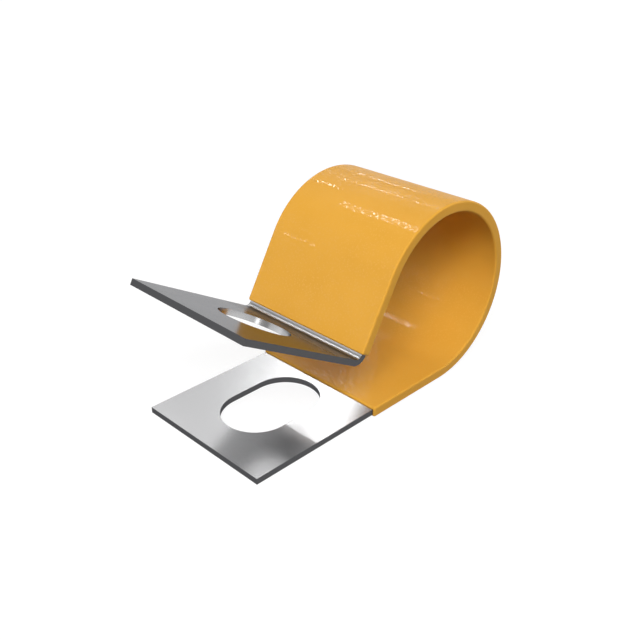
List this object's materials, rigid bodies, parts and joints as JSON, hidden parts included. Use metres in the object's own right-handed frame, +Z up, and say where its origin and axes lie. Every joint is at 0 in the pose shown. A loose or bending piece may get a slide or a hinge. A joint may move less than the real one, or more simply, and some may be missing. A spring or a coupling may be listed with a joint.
{
  "type": "p clip",
  "caption": "P-shaped cable and pipe clip: a flat steel band looped in a soft plastic coat, with bare fixing tabs, the lower slotted and the upper holed.",
  "frame": {"origin": "centre of the lower tab's slot, on the tab's underside", "axes": "+X along the loop's axis, across the band; +Y along the band from the slot towards the loop; +Z up, square to the lower tab"},
  "size_m": [0.0206, 0.0456, 0.0248],
  "materials": {
    "bright_steel": "gloss",
    "amber_plastic": "gloss"
  },
  "bodies": {
    "root": {"steel_band": "bright_steel", "plastic_coat": "amber_plastic"}
  },
  "joints": []
}
